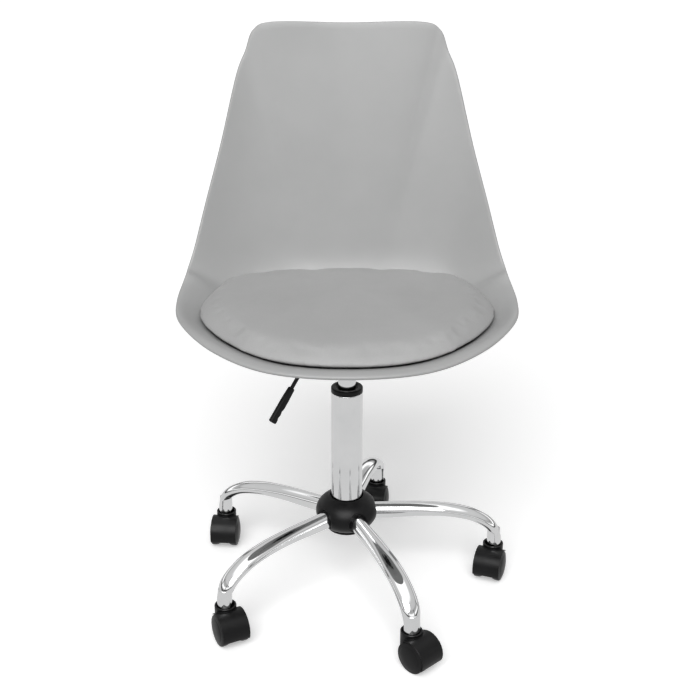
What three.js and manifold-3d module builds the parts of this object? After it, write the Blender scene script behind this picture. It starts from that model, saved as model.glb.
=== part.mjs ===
// A swivel desk chair: a moulded bucket shell with a padded cushion, on a gas lift and a five-arm base
// with twin-wheel casters. Millimetres, +Z up, the column's axis is the Z axis, the floor is z = 0,
// and the sitter faces -Y.
import * as THREE from "three";
import Module from "manifold-3d";
import { mergeVertices } from "three/addons/utils/BufferGeometryUtils.js";

const wasm = await Module();
wasm.setup();

// ---- Driving dimensions ----
const gap = 0.3; // between faces that touch on the real chair

// Seat shell
const shellWall = 4.5;
const seatOverColumn = 79; // the bowl's flat floor, on the sitter's side, over the column's mouth
const seatWidth = 527;
const frontReach = 215; // from the column's axis to the front lip
const seatMiddle = 35; // from the column's axis back to the widest part of the seat
const backLength = 612; // along the shell's middle line, from the axis to the top edge
const topWidth = 328; // across the top corners
const topCorner = 46;
const frontFullness = 0.94; // below 1 makes the front's half ellipse squarer
const frontLevel = 15; // degrees round from the lip before its rim starts to rise
const frontRise = 39; // of the rim over the bowl's floor, at the front lip
const sideRise = 70;
const wingRise = 84; // where the rim turns up into the backrest
const backRise = 52; // of the rim in front of the backrest's middle line, at its foot
const topRise = 9;
const bendStart = 70; // along the middle line, where the floor starts to turn up
const bendLength = 195;
const backLean = 79; // degrees from the floor to the backrest
const topCurl = 3; // degrees that the upper backrest leans further back
const bowlInner = 0.5; // share of the way out where the bowl's wall starts
const lipInner = 0.93; // share of the way out where the wall has become the flat front lip
const wingOuter = 1.12; // share of the way out where the side wall would become flat
const arcInner = 0.2; // share of the way out where the backrest's sides start to curve forward

// Cushion
const cushionBand = 21; // from the cushion's edge to the rim
const cushionRise = 50; // of the cushion's rear edge over the bowl's floor
const cushionGap = 6; // to the shell's wall
const cushionCrown = 20; // of the middle over the edge
const boardWidth = 190;
const boardDepth = 130;
const boardMiddle = -32; // its centre, from the column's axis
const boardThickness = 6;
const cushionBlend = 20; // how sharply the edge's two limits meet; higher is sharper
const cushionUnder = [0.3, 0.55, 0.75, 0.9]; // shares of the way out at the underside's rings
const cushionTop = [[0.985, 0.22], [0.93, 0.5], [0.8, 0.76], [0.5, 0.95]]; // share of the way out, of the crown
const tuckStart = 0.6; // share of the way out where the underside lifts off the board's level

// Seat plate and its bolts
const plateWidth = 140;
const plateDepth = 100;
const plateCorner = 22;
const plateThickness = 3;
const bossHeight = 16.5;
const bossRadius = 9;
const boltSpanX = 116;
const boltSpanY = 56;
const boltRadius = 3;
const boltHeadRadius = 6;
const boltHeadHeight = 4;
const boltBite = 13; // of the bolt into the boss
const socketRadius = 19;
const socketDrop = 24; // of the taper socket under the plate
const liftSink = 1.5; // of the lift's upper end under the plate's top

// Gas lift
const liftRadius = 14;
const taperTop = 13.2; // radius at the lift's upper end
const liftWall = 1.5;
const columnRadius = 25;
const columnWall = 1.5;
const columnLength = 233;
const columnSink = 22; // of the column's lower end under the hub's middle
const columnFloor = 3;
const bushFlange = 7.7;
const bushLength = 65;
const travel = 110;
const rodRadius = 5;
const glandHeight = 16;
const pistonHeight = 12;
const bearingRadius = 13;
const washerHeight = 2;
const cageHeight = 4;
const stopHeight = 10;
const buttonRadius = 4;
const buttonStand = 5.7; // of the release button over the lift's upper end
const valveDepth = 4; // of the chamber's roof under the socket
const valveLift = 4; // of the button's foot over the socket's bottom
const shoulderHeight = 4; // of the rod's shoulder on the bearing

// Lever
const leverAzimuth = 220; // degrees from +X
const leverRadius = 3;
const leverPivot = 45; // from the column's axis
const leverBend = 84;
const leverSlope = 50; // degrees down from level
const leverTail = 98; // along the slope, from the bend to the grip's end
const leverFillet = 9;
const gripLength = 60;
const gripWidth = 12;
const gripThickness = 8;
const clipLength = 10;
const clipWidth = 14;
const clipPlay = 0.9; // round the rod, for its lift

// Base
const hubRadius = 31;
const hubHalf = 21;
const hubOverArm = 4; // the hub's middle over the arms' centre lines
const coverRadius = 50;
const coverHalf = 34;
const coverWall = 2.5;
const capRadius = 31;
const capMargin = 3; // of the cap beyond the cover's lower opening
const coverLow = [37, 43, 47.5]; // radii of the cover's rings under its middle
const coverHigh = [36, 43, 47.5];
const capThickness = 2.5;
const casterCircle = 245.5;
const firstArm = 4.7; // degrees from +X
const armCount = 5;
const armWall = 1.6;
const armHubWidth = 25;
const armHubHeight = 28;
const armBendWidth = 31;
const armBendHeight = 19;
const armTipWidth = 25.8;
const armOverCollar = 70.5; // the arm's centre line at mid length over the caster's collar
const sleeveRadius = 10.6;
const sleeveOverCollar = 28.5;

// Casters
const wheelRadius = 25;
const wheelInner = 9; // from the caster's middle plane
const wheelOuter = 25.5;
const axleRadius = 3;
const trail = 17.5;
const hoodPlay = 0.7; // between the wheel and the hood
const hoodWidth = 44;
const hoodWall = 1.2;
const hoodSkirtDrop = 11; // of the hood's lower edge under the axle
const webWidth = 15;
const collarRadius = 16.8;
const collarOverWheel = 5.5;
const cupRadius = 14;
const cupDepth = 8;
const tipSink = 2; // of the arm's tip into the cup
const stemRadius = 5.5;
const stemOverAxle = 4; // the stem's lower end over the axle's middle
const casterHeadings = [-21.8, -14, -4.8, 27, 43.3]; // degrees, one for each arm in turn

// ---- Heights that follow from the wheel's size ----
const hoodRadius = wheelRadius + hoodPlay + hoodWall;
const hoodSkirt = wheelRadius - hoodSkirtDrop;
const stemBottom = wheelRadius + stemOverAxle;
const collarTop = 2 * wheelRadius + collarOverWheel;
const sleeveTop = collarTop + sleeveOverCollar;
const armTop = collarTop + armOverCollar;
const hubMiddle = armTop + hubOverArm;
const columnBottom = hubMiddle - columnSink;
const columnTop = columnBottom + columnLength;
const shellFloor = columnTop + seatOverColumn;

// ---- Materials ----
const paint = (color, roughness, metalness) => new THREE.MeshStandardMaterial({ color, roughness, metalness });
const shellPlastic = () => paint(0xb4b4b3, 0.42, 0);
const leatherette = () => paint(0xb0b0af, 0.5, 0);
const blackPlastic = () => paint(0x101011, 0.4, 0);
const chrome = () => paint(0xd8d8d8, 0.08, 1);
const steel = () => paint(0x8c8c8c, 0.35, 1);
const blackSteel = () => paint(0x1b1b1c, 0.45, 0.4);
const plywood = () => paint(0xb98f5f, 0.7, 0);
const rubber = () => paint(0x151515, 0.8, 0);

// ---- Solids ----
const radians = THREE.MathUtils.degToRad;
const root = new THREE.Group();

function solidOf(geometry) {
  const bare = geometry.clone();
  bare.deleteAttribute("normal");
  bare.deleteAttribute("uv");
  const merged = mergeVertices(bare.index ? bare.toNonIndexed() : bare, 1e-3);
  return new wasm.Manifold(new wasm.Mesh({
    numProp: 3,
    vertProperties: merged.attributes.position.array,
    triVerts: new Uint32Array(merged.index.array),
  }));
}

function geometryOf(solid) {
  const mesh = solid.getMesh();
  const geometry = new THREE.BufferGeometry();
  geometry.setAttribute("position", new THREE.BufferAttribute(mesh.vertProperties.slice(), 3));
  geometry.setIndex(new THREE.BufferAttribute(mesh.triVerts.slice(), 1));
  return geometry.toNonIndexed();
}

const join = (...pieces) => geometryOf(pieces.map(solidOf).reduce((whole, piece) => whole.add(piece)));
function cut(body, ...tools) {
  return geometryOf(tools.map(solidOf).reduce((left, tool) => left.subtract(tool), solidOf(body)));
}

function place(parent, name, geometry, material) {
  const mesh = new THREE.Mesh(geometry, material);
  mesh.name = name;
  mesh.geometry.computeVertexNormals();
  parent.add(mesh);
  return mesh;
}

// A solid of revolution about Z from [radius, height] corners, listed from the lower axis outwards and up.
function turned(corners, segments) {
  const profile = corners.map(([radius, height]) => new THREE.Vector2(radius, height));
  return new THREE.LatheGeometry(profile, segments).rotateX(Math.PI / 2);
}

// A ring about Z with a rectangular section.
function ring(inner, outer, bottom, top, segments) {
  return turned([[inner, bottom], [outer, bottom], [outer, top], [inner, top], [inner, bottom]], segments);
}

function rod(radius, bottom, top, segments) {
  return turned([[0, bottom], [radius, bottom], [radius, top], [0, top]], segments);
}

// A straight round bar between two heights, laid along X.
const barAlongX = (radius, from, to, segments) => rod(radius, from, to, segments).rotateY(Math.PI / 2);

// A box between two corners.
function block(x0, x1, y0, y1, z0, z1) {
  const box = new THREE.BoxGeometry(x1 - x0, y1 - y0, z1 - z0);
  return box.translate((x0 + x1) / 2, (y0 + y1) / 2, (z0 + z1) / 2);
}

// Rings of points joined into a skin; each ring runs the same way round.
function skin(rings, faces, offset = 0, flip = false) {
  const count = rings[0].length;
  for (let i = 0; i < rings.length - 1; i++) {
    for (let j = 0; j < count; j++) {
      const a = offset + i * count + j;
      const b = offset + i * count + (j + 1) % count;
      const [p, q] = flip ? [b, a] : [a, b];
      faces.push(p, q, q + count, p, q + count, p + count);
    }
  }
}

function meshOf(points, faces) {
  const geometry = new THREE.BufferGeometry().setFromPoints(points);
  geometry.setIndex(faces);
  return geometry;
}

// A solid from rings stacked from one pole to the other.
function lofted(lowPole, rings, highPole) {
  const count = rings[0].length;
  const points = [...rings.flat(), lowPole, highPole];
  const faces = [];
  skin(rings, faces);
  const low = count * rings.length;
  for (let j = 0; j < count; j++) {
    const next = (j + 1) % count;
    faces.push(low, next, j);
    faces.push(low + 1, low - count + j, low - count + next);
  }
  return meshOf(points, faces);
}

// A bent tube from outer rings and the matching inner rings.
function hollow(outer, inner) {
  const count = outer[0].length;
  const faces = [];
  skin(outer, faces);
  skin(inner, faces, outer.length * count, true);
  const innerStart = outer.length * count;
  const lastOuter = (outer.length - 1) * count;
  for (let j = 0; j < count; j++) {
    const next = (j + 1) % count;
    faces.push(next, j, innerStart + j, next, innerStart + j, innerStart + next);
    const a = lastOuter + j;
    const b = lastOuter + next;
    faces.push(a, b, innerStart + b, a, innerStart + b, innerStart + a);
  }
  return meshOf([...outer.flat(), ...inner.flat()], faces);
}

// ---- Seat shell ----
const smooth = (from, to, value) => THREE.MathUtils.smoothstep(value, from, to);
const mix = THREE.MathUtils.lerp;

// The shell's slope along its middle line, in radians from level.
function spineAngle(along) {
  const bend = radians(backLean) * smooth(bendStart, bendStart + bendLength, along);
  return bend - radians(topCurl) * smooth(backLength * 0.5, backLength, along);
}

// The middle line: its point and slope at a distance along it, summed in short steps.
const spineStep = 2;
const spineTable = [[0, shellFloor]];
for (let along = 0; along < backLength * 1.1; along += spineStep) {
  const [y, z] = spineTable[spineTable.length - 1];
  const angle = spineAngle(along + spineStep / 2);
  spineTable.push([y + spineStep * Math.cos(angle), z + spineStep * Math.sin(angle)]);
}

function spine(along) {
  if (along <= 0) return [along, shellFloor, 0];
  const index = Math.min(Math.floor(along / spineStep), spineTable.length - 2);
  const share = along / spineStep - index;
  const [y0, z0] = spineTable[index];
  const [y1, z1] = spineTable[index + 1];
  return [mix(y0, y1, share), mix(z0, z1, share), spineAngle(along)];
}

// The rim: half width, distance along the middle line, and rise off the shell's middle surface. Its front
// is half an ellipse, and its sides run up the backrest to round top corners.
const halfWidth = seatWidth / 2;
const frontDepth = frontReach + seatMiddle;
const frontRim = [0, 24, 47, 69, 90].map((degrees) => [
  halfWidth * Math.abs(Math.sin(radians(degrees))) ** frontFullness,
  seatMiddle - frontDepth * Math.abs(Math.cos(radians(degrees))) ** frontFullness,
  mix(frontRise, sideRise, smooth(frontLevel, 90, degrees)),
]);
const halfTop = topWidth / 2;
const backRim = [
  [0.975 * halfWidth, 0.22 * backLength, wingRise],
  [mix(halfWidth, halfTop, 0.105), 0.35 * backLength, mix(wingRise, backRise, 0.45)],
  [mix(halfWidth, halfTop, 0.31), 0.5 * backLength, mix(wingRise, backRise, 1.15)],
  [mix(halfWidth, halfTop, 0.6), 0.68 * backLength, mix(backRise, topRise, 0.55)],
  [mix(halfWidth, halfTop, 0.855), 0.86 * backLength, mix(backRise, topRise, 0.88)],
  [halfTop, backLength - topCorner, topRise],
  [halfTop - 0.28 * topCorner, backLength - 0.28 * topCorner, topRise],
  [halfTop - topCorner, backLength, topRise],
];
const rimHalf = [...frontRim.slice(1), ...backRim];
const rimPoints = [
  frontRim[0],
  ...rimHalf,
  [0, backLength, 0],
  ...rimHalf.map(([across, along, rise]) => [-across, along, rise]).reverse(),
].map((point) => new THREE.Vector3(...point));
const rim = new THREE.CatmullRomCurve3(rimPoints, true, "catmullrom", 0.5);

// A point of the sitter's surface: turn runs round the rim, spread runs from the column's axis to the rim.
function shellPoint(turn, spread) {
  const edge = rim.getPoint(turn);
  const wallOuter = mix(lipInner, wingOuter, smooth(-frontReach, seatMiddle, edge.y));
  const bowl = smooth(bowlInner, wallOuter, spread);
  const arc = (Math.max(0, spread - arcInner) / (1 - arcInner)) ** 2;
  const rise = edge.z * mix(bowl, arc, smooth(0.25 * backLength, 0.62 * backLength, edge.y));
  const [y, z, angle] = spine(edge.y * spread);
  return new THREE.Vector3(edge.x * spread, y - rise * Math.sin(angle), z + rise * Math.cos(angle));
}

function shellNormal(turn, spread) {
  const step = 0.002;
  const out = shellPoint(turn, spread + step).sub(shellPoint(turn, spread - step));
  const round = shellPoint((turn + step) % 1, spread).sub(shellPoint((turn - step + 1) % 1, spread));
  return out.cross(round).normalize();
}

// A point at a height over the sitter's surface, measured square to it.
function offShell(turn, spread, height) {
  return shellPoint(turn, spread).addScaledVector(shellNormal(turn, spread), height);
}

const shellTurns = 40;
const shellSpreads = [0.09, 0.14, 0.19, 0.24, 0.29, 0.34, 0.42, 0.5, 0.6, 0.7, 0.8, 0.87, 0.93, 1];
const turnsOf = (count) => Array.from({ length: count }, (_, i) => i / count);

const boltPlaces = [];
for (const sideY of [-1, 1]) {
  for (const sideX of [-1, 1]) boltPlaces.push([sideX * boltSpanX / 2, sideY * boltSpanY / 2]);
}
const shellUnderside = shellFloor - shellWall;
const plateTop = shellUnderside - bossHeight;
const plateBottom = plateTop - plateThickness;

function seatShell() {
  const turns = turnsOf(shellTurns);
  const inside = shellSpreads.map((spread) => turns.map((turn) => shellPoint(turn, spread)));
  const outside = shellSpreads.map((spread) => turns.map((turn) => offShell(turn, spread, -shellWall)));
  const floor = new THREE.Vector3(0, 0, shellFloor);
  const under = new THREE.Vector3(0, 0, shellUnderside);
  const wall = lofted(under, [...outside, ...inside.reverse()], floor);
  const overlap = shellWall / 2;
  const boss = rod(bossRadius, plateTop + gap, shellUnderside + overlap, 16);
  const bosses = boltPlaces.map(([x, y]) => boss.clone().translate(x, y, 0));
  const hole = rod(boltRadius + gap, plateBottom, shellFloor + 1, 12);
  const holes = boltPlaces.map(([x, y]) => hole.clone().translate(x, y, 0));
  return cut(join(wall, ...bosses), ...holes);
}

// ---- Cushion ----
// The cushion's edge keeps a band of the rim clear at the front and sides, and stops at its rear height.
function cushionReach(turn) {
  const edge = rim.getPoint(turn);
  const band = 1 - cushionBand / Math.hypot(edge.x, edge.y);
  let low = 0;
  let high = 1;
  for (let i = 0; i < 20; i++) {
    const middle = (low + high) / 2;
    if (shellPoint(turn, middle).z < shellFloor + cushionRise) low = middle;
    else high = middle;
  }
  return (band ** -cushionBlend + low ** -cushionBlend) ** (-1 / cushionBlend);
}

function seatCushion() {
  const turns = turnsOf(shellTurns);
  const lift = boardThickness + 2 * gap;
  const under = cushionUnder.map((share) => turns.map((turn) =>
    offShell(turn, share * cushionReach(turn), mix(lift, cushionGap, smooth(tuckStart, 1, share)))));
  const edge = turns.map((turn) => offShell(turn, cushionReach(turn), cushionGap));
  const middle = edge.reduce((sum, point) => sum.add(point), new THREE.Vector3()).divideScalar(edge.length);
  const raised = (point, share, height) => new THREE.Vector3().lerpVectors(middle, point, share)
    .add(new THREE.Vector3(0, 0, height * cushionCrown));
  const top = cushionTop.map(([share, height]) => edge.map((point) => raised(point, share, height)));
  const low = new THREE.Vector3(0, 0, shellFloor + lift);
  const high = middle.clone().add(new THREE.Vector3(0, 0, cushionCrown));
  return lofted(low, [...under, edge, ...top], high);
}

function cushionBoard() {
  const outline = new THREE.Shape().absellipse(0, 0, boardWidth / 2, boardDepth / 2, 0, 2 * Math.PI);
  return new THREE.ExtrudeGeometry(outline, { depth: boardThickness, bevelEnabled: false, curveSegments: 18 })
    .translate(0, boardMiddle, shellFloor + gap);
}

// ---- Seat plate, bolts and lever ----
function roundedPlate(width, depth, corner) {
  const x = width / 2 - corner;
  const y = depth / 2 - corner;
  const shape = new THREE.Shape();
  shape.absarc(x, y, corner, 0, Math.PI / 2);
  shape.absarc(-x, y, corner, Math.PI / 2, Math.PI);
  shape.absarc(-x, -y, corner, Math.PI, 1.5 * Math.PI);
  shape.absarc(x, -y, corner, 1.5 * Math.PI, 2 * Math.PI);
  return shape;
}

const socketBottom = plateBottom - socketDrop;
const liftTop = plateTop - liftSink;
// The lift's outer radius through the taper that holds it in the plate's socket.
function taperRadius(height) {
  const share = (height - socketBottom) / (liftTop - socketBottom);
  return mix(liftRadius, taperTop, THREE.MathUtils.clamp(share, 0, 1));
}

function seatPlate() {
  const sheet = new THREE.ExtrudeGeometry(roundedPlate(plateWidth, plateDepth, plateCorner), {
    depth: plateThickness, bevelEnabled: false, curveSegments: 6,
  }).translate(0, 0, plateBottom);
  const tube = rod(socketRadius, socketBottom, plateTop, 28);
  const above = plateTop + 1;
  const taper = turned([
    [0, socketBottom - 1], [liftRadius + gap, socketBottom - 1], [liftRadius + gap, socketBottom],
    [taperTop + gap, liftTop], [taperTop + gap, above], [0, above],
  ], 28);
  const hole = rod(boltRadius + gap, plateBottom - 1, above, 12);
  const holes = boltPlaces.map(([x, y]) => hole.clone().translate(x, y, 0));
  return cut(join(sheet, tube), taper, ...holes);
}

function seatBolt() {
  const headTop = plateBottom - gap;
  const headBottom = headTop - boltHeadHeight;
  const key = boltHeadRadius * 0.45;
  const body = turned([
    [0, headBottom], [boltHeadRadius * 0.85, headBottom], [boltHeadRadius, headTop],
    [boltRadius, headTop], [boltRadius, plateTop + boltBite], [0, plateTop + boltBite],
  ], 12);
  return cut(body, rod(key, headBottom - 1, headBottom + boltHeadHeight / 2, 6));
}

const leverHeight = liftTop + buttonStand + gap + leverRadius;
const slope = radians(leverSlope);

// The lever lies in an upright plane: distance out from the column's axis, then height.
function leverRod() {
  const bendIn = new THREE.Vector3(leverBend - leverFillet, 0, leverHeight);
  const corner = new THREE.Vector3(leverBend, 0, leverHeight);
  const down = new THREE.Vector3(Math.cos(slope), 0, -Math.sin(slope));
  const bendOut = corner.clone().addScaledVector(down, leverFillet);
  const path = new THREE.CurvePath();
  path.add(new THREE.LineCurve3(new THREE.Vector3(-leverRadius, 0, leverHeight), bendIn));
  path.add(new THREE.QuadraticBezierCurve3(bendIn, corner, bendOut));
  path.add(new THREE.LineCurve3(bendOut, corner.clone().addScaledVector(down, leverTail - gripThickness)));
  const section = new THREE.Shape().absarc(0, 0, leverRadius, 0, 2 * Math.PI);
  return new THREE.ExtrudeGeometry(section, { steps: 16, extrudePath: path, curveSegments: 4, bevelEnabled: false });
}

// A flat paddle along the rod's slope, with two finger notches in its lower edge and a blind bore for the rod.
function leverGrip() {
  const half = gripWidth / 2;
  const notch = gripWidth * 0.22;
  const paddle = new THREE.Shape();
  paddle.moveTo(-gripLength, -half * 0.8);
  paddle.quadraticCurveTo(-gripLength * 0.8, -half + notch, -gripLength * 0.6, -half);
  paddle.quadraticCurveTo(-gripLength * 0.4, -half + notch, -gripLength * 0.22, -half);
  paddle.lineTo(-half * 0.5, -half);
  paddle.quadraticCurveTo(0, -half, 0, 0);
  paddle.quadraticCurveTo(0, half, -half * 0.5, half);
  paddle.lineTo(-gripLength, half * 0.8);
  const body = new THREE.ExtrudeGeometry(paddle, { depth: gripThickness, bevelEnabled: false, curveSegments: 5 })
    .translate(0, 0, -gripThickness / 2).rotateX(Math.PI / 2);
  const bore = barAlongX(leverRadius + gap, -gripLength - 1, gap - gripThickness, 10);
  return cut(body, bore).rotateY(slope);
}

function leverClip() {
  const bottom = plateTop + gap;
  const top = leverHeight + leverRadius + 3;
  const near = leverPivot - clipLength / 2;
  const body = block(near, near + clipLength, -clipWidth / 2, clipWidth / 2, bottom, top);
  const hole = barAlongX(leverRadius + clipPlay, near - 1, near + clipLength + 1, 14).translate(0, 0, leverHeight);
  return cut(body, hole);
}

function addSeat() {
  place(root, "seat_shell", seatShell(), shellPlastic());
  place(root, "seat_cushion", seatCushion(), leatherette());
  place(root, "cushion_board", cushionBoard(), plywood());
  place(root, "seat_plate", seatPlate(), blackSteel());
  boltPlaces.forEach(([x, y], i) => place(root, `seat_bolt_${i + 1}`, seatBolt(), steel()).position.set(x, y, 0));
  const lever = new THREE.Group();
  lever.rotation.z = radians(leverAzimuth);
  place(lever, "lever_rod", leverRod(), blackSteel());
  const grip = place(lever, "lever_grip", leverGrip(), blackPlastic());
  grip.position.set(leverBend + leverTail * Math.cos(slope), 0, leverHeight - leverTail * Math.sin(slope));
  place(lever, "lever_clip", leverClip(), blackPlastic());
  root.add(lever);
}

// ---- Gas lift ----
const floorTop = columnBottom + columnFloor;
const lowerWasher = floorTop + gap;
const cageBottom = lowerWasher + washerHeight + gap;
const upperWasher = cageBottom + cageHeight + gap;
const shoulderBottom = upperWasher + washerHeight + gap;
const stopBottom = shoulderBottom + shoulderHeight + gap;
const liftBottom = stopBottom + stopHeight + 2;
const bushBottom = columnTop - bushLength;
const pistonBottom = liftBottom + travel + glandHeight + 4;

function columnTube() {
  const inner = columnRadius - columnWall;
  const bore = rodRadius + 1;
  return turned([
    [bore, columnBottom], [columnRadius - 0.8, columnBottom], [columnRadius, columnBottom + 0.8],
    [columnRadius, columnTop], [inner, columnTop], [inner, floorTop], [bore, floorTop], [bore, columnBottom],
  ], 36);
}

function guideBush() {
  const fit = columnRadius - columnWall - gap;
  const bore = liftRadius + gap;
  const seatFace = columnTop + gap;
  const top = seatFace + bushFlange;
  return turned([
    [bore, bushBottom], [fit, bushBottom], [fit, seatFace], [columnRadius, seatFace], [columnRadius, top - 1],
    [columnRadius - 1, top], [bore + 2, top], [bore, top - 2], [bore, bushBottom],
  ], 36);
}

function liftCylinder() {
  const inner = liftRadius - liftWall;
  const seal = rodRadius + gap;
  const button = buttonRadius + gap;
  const chamberTop = socketBottom - valveDepth;
  return turned([
    [seal, liftBottom], [liftRadius - 1, liftBottom], [liftRadius, liftBottom + 1], [liftRadius, socketBottom],
    [taperRadius(liftTop), liftTop], [button, liftTop], [button, chamberTop], [inner, chamberTop],
    [inner, liftBottom + glandHeight], [seal, liftBottom + glandHeight], [seal, liftBottom],
  ], 28);
}

function pistonRod() {
  const tail = columnBottom - 4;
  const shoulder = rodRadius + 3;
  return turned([
    [0, tail], [rodRadius, tail], [rodRadius, shoulderBottom], [shoulder, shoulderBottom],
    [shoulder, shoulderBottom + shoulderHeight], [rodRadius, shoulderBottom + shoulderHeight],
    [rodRadius, pistonBottom - gap], [0, pistonBottom - gap],
  ], 16);
}

function addLift() {
  place(root, "column_tube", columnTube(), chrome());
  place(root, "guide_bush", guideBush(), blackPlastic());
  place(root, "lift_cylinder", liftCylinder(), chrome());
  const buttonBottom = socketBottom + valveLift;
  place(root, "release_button", rod(buttonRadius, buttonBottom, liftTop + buttonStand, 14), steel());
  place(root, "piston_rod", pistonRod(), steel());
  place(root, "piston_head", rod(liftRadius - liftWall - gap, pistonBottom, pistonBottom + pistonHeight, 20), blackPlastic());
  const eye = rodRadius + gap;
  place(root, "bearing_lower", ring(eye, bearingRadius, lowerWasher, lowerWasher + washerHeight, 20), steel());
  place(root, "bearing_cage", ring(eye + 1, bearingRadius - 1, cageBottom, cageBottom + cageHeight, 20), steel());
  place(root, "bearing_upper", ring(eye, bearingRadius, upperWasher, upperWasher + washerHeight, 20), steel());
  place(root, "bump_stop", ring(eye, bearingRadius - 3, stopBottom, stopBottom + stopHeight, 20), rubber());
  place(root, "rod_clip", ring(eye, rodRadius + 5, columnBottom - 2 - gap, columnBottom - gap, 16), steel());
}

// ---- Base ----
// The arm's centre line, from the hub to the caster: distance out from the axis, then height.
const tipBottom = collarTop - tipSink;
const armRoute = [
  [hubRadius + 1, armTop + 1],
  [0.28 * casterCircle, armTop + 0.5],
  [0.5 * casterCircle, armTop],
  [0.7 * casterCircle, armTop - 5],
  [0.86 * casterCircle, armTop - 16.5],
  [casterCircle - 6, armTop - 37],
  [casterCircle - 0.5, armTop - 57],
  [casterCircle, tipBottom],
];
// Section across and section deep at each point of the route.
const armSections = [
  [armHubWidth, armHubHeight],
  [armHubWidth + 1, armHubHeight - 1],
  [mix(armHubWidth, armBendWidth, 0.5), mix(armHubHeight, armBendHeight, 0.5)],
  [armBendWidth, armBendHeight + 1],
  [armBendWidth, armBendHeight],
  [armBendWidth - 1, armBendHeight],
  [armTipWidth, armTipWidth - 1],
  [armTipWidth, armTipWidth],
];

const armSides = 12;
const armSteps = 10;

function armRings(wall, count, steps) {
  const curveOf = (points) => new THREE.CatmullRomCurve3(points, false, "centripetal");
  const line = curveOf(armRoute.map(([out, up]) => new THREE.Vector3(out, 0, up)));
  const sizes = curveOf(armSections.map(([across, deep]) => new THREE.Vector3(across, deep, 0)));
  return Array.from({ length: steps + 1 }, (_, i) => {
    const at = i / steps;
    const centre = line.getPoint(at);
    const ahead = line.getTangent(at);
    const deepAxis = new THREE.Vector3(-ahead.z, 0, ahead.x);
    const size = sizes.getPoint(at);
    return turnsOf(count).map((turn) => {
      const angle = 2 * Math.PI * turn;
      const across = (size.x / 2 - wall) * Math.sin(angle);
      const deep = (size.y / 2 - wall) * Math.cos(angle);
      return centre.clone().addScaledVector(deepAxis, deep).add(new THREE.Vector3(0, -across, 0));
    });
  });
}

// The tube's inner side is cut away round the sleeve, from the tip to the bend.
function baseArm() {
  const tube = hollow(armRings(0, armSides, armSteps), armRings(armWall, armSides, armSteps));
  const mouthTop = sleeveTop + 3;
  const mouth = block(casterCircle - 3 * sleeveRadius, casterCircle, -armTipWidth, armTipWidth, tipBottom - 1, mouthTop);
  const room = rod(sleeveRadius + gap, tipBottom - 1, sleeveTop + gap, 20).translate(casterCircle, 0, 0);
  return cut(tube, mouth, room);
}

// An oval plug a little larger than the arm, which cuts its opening in the hub's cover.
function armOpening() {
  const rings = armRings(-0.8, armSides, armSteps).slice(0, 4);
  const inward = rings[0].map((point) => point.clone().setX(point.x - 10));
  const middleOf = (loop) => loop.reduce((sum, point) => sum.add(point), new THREE.Vector3()).divideScalar(loop.length);
  return lofted(middleOf(inward), [inward, ...rings], middleOf(rings[rings.length - 1]));
}

function hubCover() {
  const topRadius = columnRadius + 1.5;
  const bottomRadius = capRadius - capMargin;
  const outerAt = (radius) => coverHalf * Math.sqrt(1 - (radius / coverRadius) ** 2);
  const innerRadius = coverRadius - coverWall;
  const innerAt = (radius) => (coverHalf - coverWall) * Math.sqrt(1 - (radius / innerRadius) ** 2);
  const from = [bottomRadius, ...coverLow, coverRadius];
  const outer = [...from.map((radius) => [radius, hubMiddle - outerAt(radius)]),
    ...[...coverHigh].reverse().concat(topRadius).map((radius) => [radius, hubMiddle + outerAt(radius)])];
  const shrink = innerRadius / coverRadius;
  const inner = [topRadius, ...coverHigh.map((radius) => radius * shrink)]
    .map((radius) => [radius, hubMiddle + innerAt(radius)]);
  const lower = [coverRadius, ...[...coverLow].reverse()].map((radius) => radius * shrink).concat(bottomRadius)
    .map((radius) => [radius, hubMiddle - innerAt(radius)]);
  const shell = turned([...outer, ...inner, ...lower, outer[0]], 24);
  const openings = armAzimuths.map((azimuth) => armOpening().rotateZ(azimuth));
  return cut(shell, ...openings);
}

const armAzimuths = turnsOf(armCount).map((turn) => radians(firstArm) + 2 * Math.PI * turn);

function addBase() {
  const bore = columnRadius + gap;
  place(root, "hub_core", ring(bore, hubRadius, hubMiddle - hubHalf, hubMiddle + hubHalf, 30), steel());
  place(root, "hub_cover", hubCover(), blackPlastic());
  const capTop = hubMiddle - coverHalf * Math.sqrt(1 - ((capRadius - capMargin) / coverRadius) ** 2) - gap;
  place(root, "hub_cap", rod(capRadius, capTop - capThickness, capTop, 28), blackPlastic());
  armAzimuths.forEach((azimuth, i) => {
    const arm = new THREE.Group();
    arm.rotation.z = azimuth;
    place(arm, `arm_${i + 1}`, baseArm(), chrome());
    const sleeve = ring(stemRadius + gap, sleeveRadius, tipBottom, sleeveTop, 14);
    place(arm, `stem_sleeve_${i + 1}`, sleeve.translate(casterCircle, 0, 0), chrome());
    root.add(arm);
  });
}

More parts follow.
